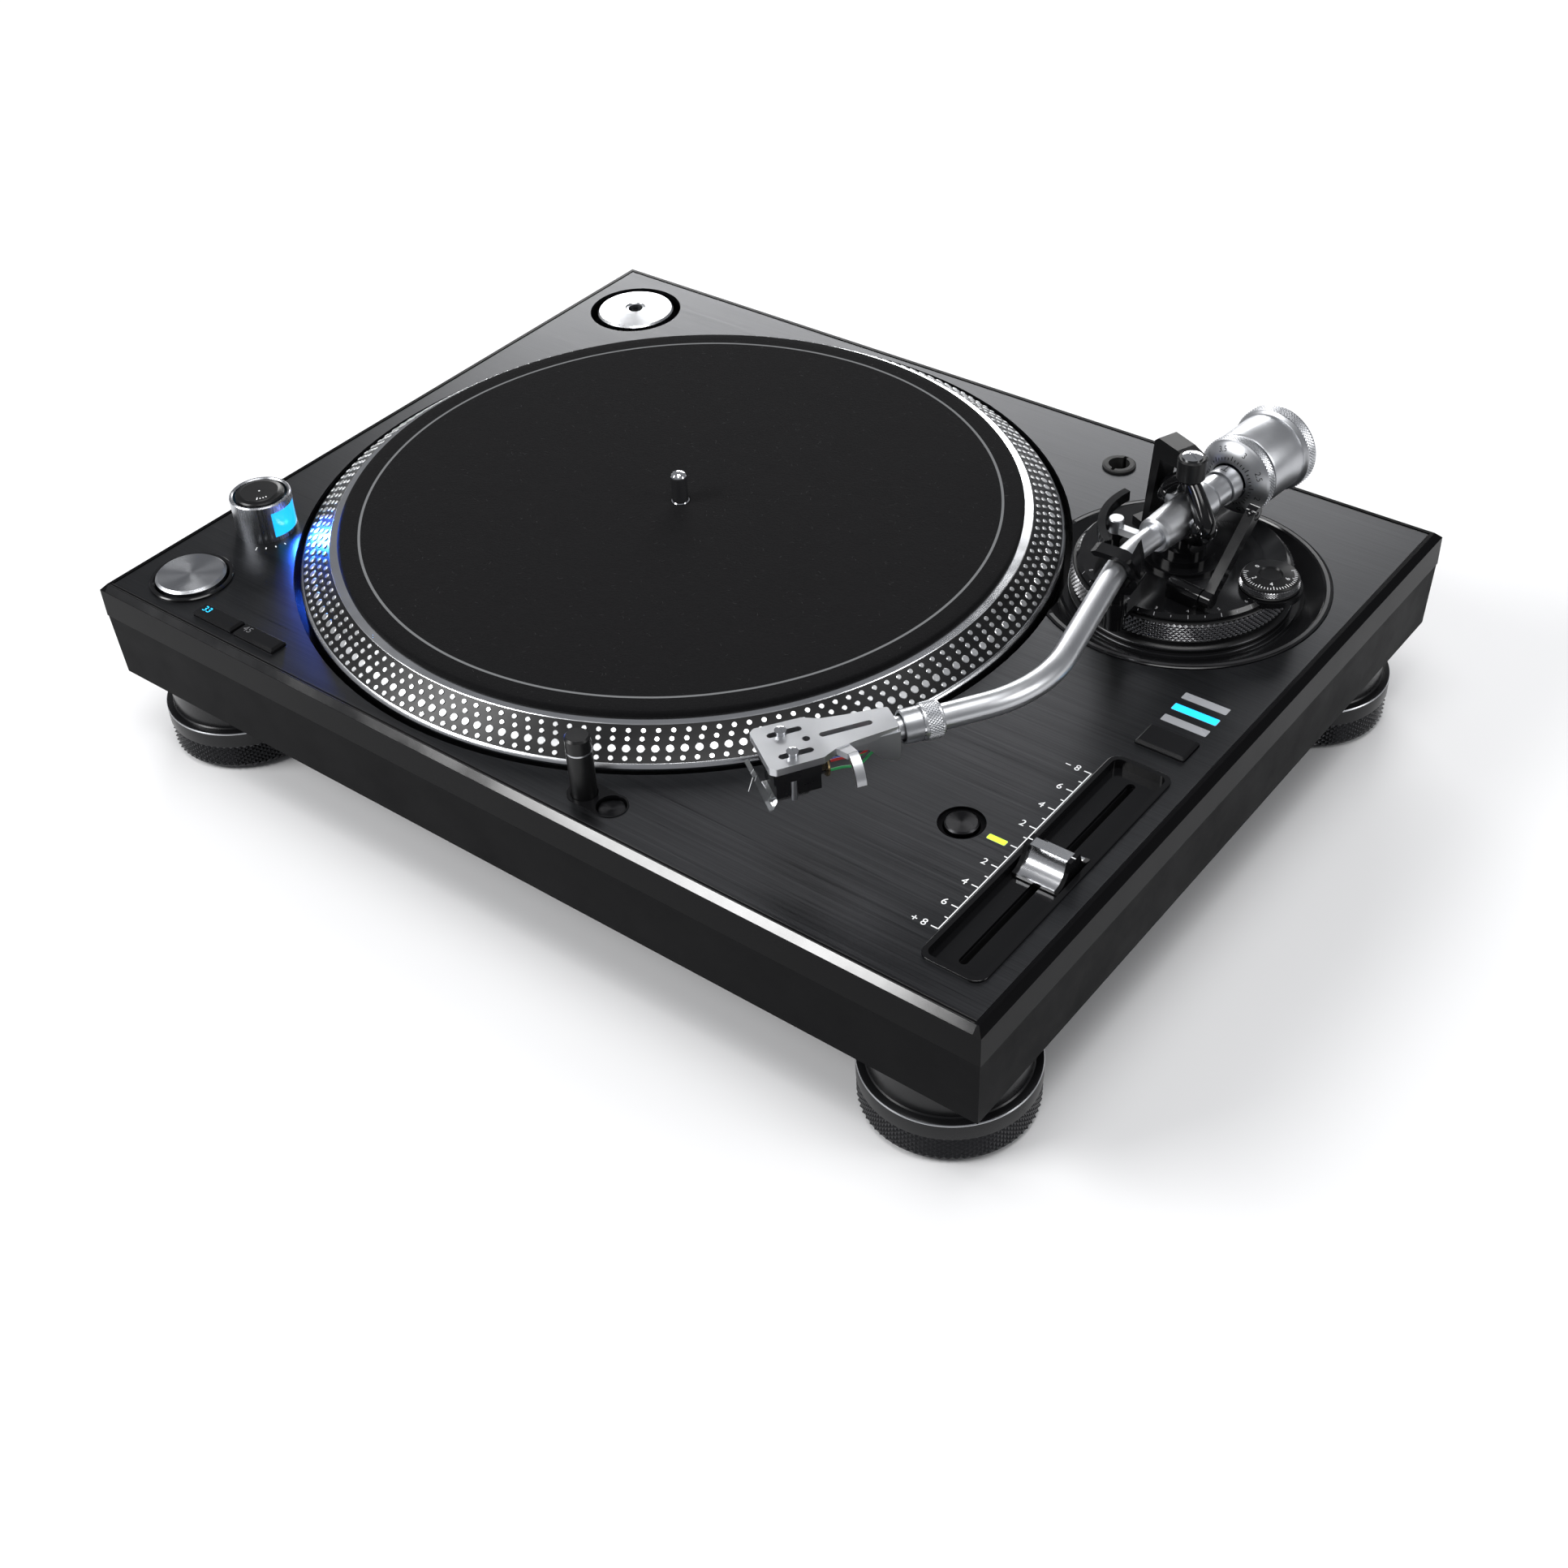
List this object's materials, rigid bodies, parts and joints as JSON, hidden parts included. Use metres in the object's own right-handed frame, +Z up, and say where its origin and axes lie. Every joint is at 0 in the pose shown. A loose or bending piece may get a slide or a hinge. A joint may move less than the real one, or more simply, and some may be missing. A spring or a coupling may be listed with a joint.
{
  "type": "turntable record player",
  "caption": "Direct-drive turntable with a felt-covered platter, S-shaped tonearm and counterweight, strobe tower, tempo slider and round screw feet.",
  "frame": {"origin": "on the floor under the middle of the cabinet", "axes": "+X to the right of the deck, +Y to its back, +Z up"},
  "size_m": [0.453, 0.353, 0.1419],
  "materials": {
    "cast_black": "satin",
    "deck_brushed": "brushed, dark anodised",
    "base_black": "matte",
    "foot_black": "satin, knurled",
    "plate_steel": "satin",
    "screw_steel": "plain",
    "chrome": "polished",
    "platter_aluminium": "polished",
    "felt": "felt",
    "rotor_steel": "plain",
    "stator_copper": "wound wire",
    "bearing_brass": "turned",
    "circuit": "board",
    "black_gloss": "gloss",
    "black_satin": "satin",
    "silver_spun": "spun",
    "tower_steel": "brushed",
    "window_lit": "lit lens",
    "lens": "lens",
    "rubber_black": "matte",
    "arm_silver": "satin",
    "weight_silver": "satin",
    "cartridge_black": "semi gloss",
    "visor_clear": "clear",
    "lead_wire": "insulated wire",
    "socket_panel": "plain",
    "inlet_black": "plain"
  },
  "bodies": {
    "cabinet": {"top_casing": "cast_black", "deck_panel": "deck_brushed", "base_shell": "base_black", "bottom_plate": "plate_steel", "bottom_screws": "screw_steel", "main_board": "circuit", "power_supply": "circuit", "terminal_panel": "socket_panel", "mains_inlet": "inlet_black", "motor_stator": "stator_copper", "motor_bearing": "bearing_brass", "start_stop_ring": "black_gloss", "strobe_tower": "tower_steel", "strobe_window": "window_lit", "light_plate": "black_gloss", "slider_tray": "black_gloss", "fader_unit": "inlet_black", "indicator_lenses": "lens", "headshell_socket": "rubber_black", "tonearm_well": "cast_black"},
    "turning_platter": {"platter": "platter_aluminium", "slipmat": "felt", "spindle": "chrome", "rotor_magnet": "rotor_steel"},
    "start_key": {"start_stop_button": "silver_spun"},
    "key_33": {"speed_33_button": "black_gloss"},
    "key_45": {"speed_45_button": "black_gloss"},
    "range_key": {"tempo_range_button": "black_gloss"},
    "reset_key": {"reset_button": "black_satin"},
    "light_key": {"target_light_button": "black_gloss"},
    "lamp": {"target_lamp": "black_satin"},
    "dial_power": {"power_dial": "black_satin"},
    "tempo_cap": {"slider_cap": "chrome"},
    "adaptor": {"single_adaptor": "silver_spun"},
    "foot_fl": {"foot_front_left": "foot_black"},
    "foot_fr": {"foot_front_right": "foot_black"},
    "foot_rr": {"foot_rear_right": "foot_black"},
    "foot_rl": {"foot_rear_left": "foot_black"},
    "ring": {"height_ring": "black_satin"},
    "arm_seat": {"arm_base": "black_satin", "gimbal_bracket": "black_satin", "arm_rest": "black_gloss"},
    "clip": {"arm_clip": "black_gloss"},
    "cue_lift": {"lifter": "black_gloss"},
    "cue_handle": {"cue_lever": "black_satin"},
    "skate_dial": {"anti_skate_dial": "black_satin"},
    "gimbal": {"pivot_yoke": "black_gloss", "pivot_screws": "chrome"},
    "tonearm": {"arm_housing": "arm_silver", "arm_rear_shaft": "arm_silver", "arm_tube": "arm_silver", "headshell": "arm_silver", "cartridge": "cartridge_black", "stylus": "visor_clear", "cartridge_screws": "screw_steel", "cartridge_leads": "lead_wire"},
    "collar": {"lock_collar": "weight_silver"},
    "sleeve": {"weight_sleeve": "inlet_black"},
    "weight": {"counterweight": "weight_silver"},
    "force_dial": {"pressure_dial": "weight_silver"}
  },
  "joints": [
    {"name": "platter_spin", "type": "hinge", "parent": "cabinet", "child": "turning_platter", "pos_m": [-0.0456, 0, 0.0833], "axis": [0, 0, -1], "continuous": true},
    {"name": "start_stop_press", "type": "slide", "parent": "cabinet", "child": "start_key", "axis": [0, 0, -1], "range_m": [0, 0.0012], "stiffness_N_per_m": 300, "springref_m": -0.002},
    {"name": "speed_33_press", "type": "slide", "parent": "cabinet", "child": "key_33", "axis": [0, 0, -1], "range_m": [0, 0.0008], "stiffness_N_per_m": 300, "springref_m": -0.002},
    {"name": "speed_45_press", "type": "slide", "parent": "cabinet", "child": "key_45", "axis": [0, 0, -1], "range_m": [0, 0.0008], "stiffness_N_per_m": 300, "springref_m": -0.002},
    {"name": "tempo_range_press", "type": "slide", "parent": "cabinet", "child": "range_key", "axis": [0, 0, -1], "range_m": [0, 0.0008], "stiffness_N_per_m": 300, "springref_m": -0.002},
    {"name": "reset_press", "type": "slide", "parent": "cabinet", "child": "reset_key", "axis": [0, 0, -1], "range_m": [0, 0.0006], "stiffness_N_per_m": 300, "springref_m": -0.002},
    {"name": "light_release_press", "type": "slide", "parent": "cabinet", "child": "light_key", "axis": [0, 0, -1], "range_m": [0, 0.0015], "stiffness_N_per_m": 300, "springref_m": -0.002},
    {"name": "lamp_pop_up", "type": "slide", "parent": "cabinet", "child": "lamp", "axis": [0, 0, -1], "range_m": [0, 0.025]},
    {"name": "power_dial_turn", "type": "hinge", "parent": "cabinet", "child": "dial_power", "pos_m": [-0.1995, -0.1038, 0.0833], "axis": [0, 0, -1], "range_deg": [0, 60]},
    {"name": "tempo_slide", "type": "slide", "parent": "cabinet", "child": "tempo_cap", "axis": [0, 1, 0], "range_m": [-0.05, 0.05]},
    {"name": "adaptor_lift_out", "type": "slide", "parent": "cabinet", "child": "adaptor", "axis": [0, 0, 1], "range_m": [0, 0.03]},
    {"name": "foot_fl_turn", "type": "hinge", "parent": "cabinet", "child": "foot_fl", "pos_m": [-0.1915, -0.142, 0], "axis": [0, 0, 1], "range_deg": [-180, 180]},
    {"name": "foot_fr_turn", "type": "hinge", "parent": "cabinet", "child": "foot_fr", "pos_m": [0.1915, -0.142, 0], "axis": [0, 0, 1], "range_deg": [-180, 180]},
    {"name": "foot_rr_turn", "type": "hinge", "parent": "cabinet", "child": "foot_rr", "pos_m": [0.1915, 0.1397, 0], "axis": [0, 0, 1], "range_deg": [-180, 180]},
    {"name": "foot_rl_turn", "type": "hinge", "parent": "cabinet", "child": "foot_rl", "pos_m": [-0.1915, 0.1397, 0], "axis": [0, 0, 1], "range_deg": [-180, 180]},
    {"name": "height_ring_turn", "type": "hinge", "parent": "cabinet", "child": "ring", "pos_m": [0.1526, 0.0847, 0.0833], "axis": [0, 0, 1], "range_deg": [0, 300]},
    {"name": "arm_height", "type": "slide", "parent": "cabinet", "child": "arm_seat", "axis": [0, 0, 1], "range_m": [0, 0.006]},
    {"name": "tonearm_swing", "type": "hinge", "parent": "arm_seat", "child": "gimbal", "pos_m": [0.1526, 0.0847, 0.1163], "axis": [0, 0, -1], "range_deg": [0, 42]},
    {"name": "tonearm_lift", "type": "hinge", "parent": "gimbal", "child": "tonearm", "pos_m": [0.1526, 0.0847, 0.1163], "axis": [-0.8387, 0.5446, 0], "range_deg": [0, 5]},
    {"name": "clip_open", "type": "hinge", "parent": "arm_seat", "child": "clip", "pos_m": [0.15861, 0.03584, 0.1139], "axis": [-0.1444, 0.9895, 0], "range_deg": [0, 85]},
    {"name": "cue_lever_turn", "type": "hinge", "parent": "arm_seat", "child": "cue_handle", "pos_m": [0.1795, 0.0559, 0.1005], "axis": [-0.9938, 0.1115, 0], "range_deg": [0, 30]},
    {"name": "cue_lower", "type": "slide", "parent": "arm_seat", "child": "cue_lift", "axis": [0, 0, -1], "range_m": [0, 0.004]},
    {"name": "anti_skate_turn", "type": "hinge", "parent": "arm_seat", "child": "skate_dial", "pos_m": [0.1914, 0.0853, 0.0833], "axis": [0, 0, 1], "range_deg": [0, 200]},
    {"name": "collar_turn", "type": "hinge", "parent": "tonearm", "child": "collar", "pos_m": [0.14561, -0.08205, 0.1163], "axis": [-0.5446, -0.8387, 0], "range_deg": [0, 60]},
    {"name": "weight_travel", "type": "slide", "parent": "tonearm", "child": "sleeve", "axis": [-0.0976, -0.9952, 0], "range_m": [-0.005, 0]},
    {"name": "weight_turn", "type": "hinge", "parent": "sleeve", "child": "weight", "pos_m": [0.1526, 0.0847, 0.1163], "axis": [-0.0976, -0.9952, 0], "range_deg": [-900, 0]},
    {"name": "force_dial_turn", "type": "hinge", "parent": "weight", "child": "force_dial", "pos_m": [0.1526, 0.0847, 0.1163], "axis": [-0.0976, -0.9952, 0], "range_deg": [-180, 180]}
  ],
  "couplings": [
    {"joint": "arm_height", "follows": "height_ring_turn", "m_per_rad": 0.0011459},
    {"joint": "clip_open", "follows": "tonearm_lift", "ratio": 17},
    {"joint": "cue_lower", "follows": "cue_lever_turn", "m_per_rad": 0.0076394},
    {"joint": "weight_travel", "follows": "weight_turn", "m_per_rad": 0.00031831}
  ]
}
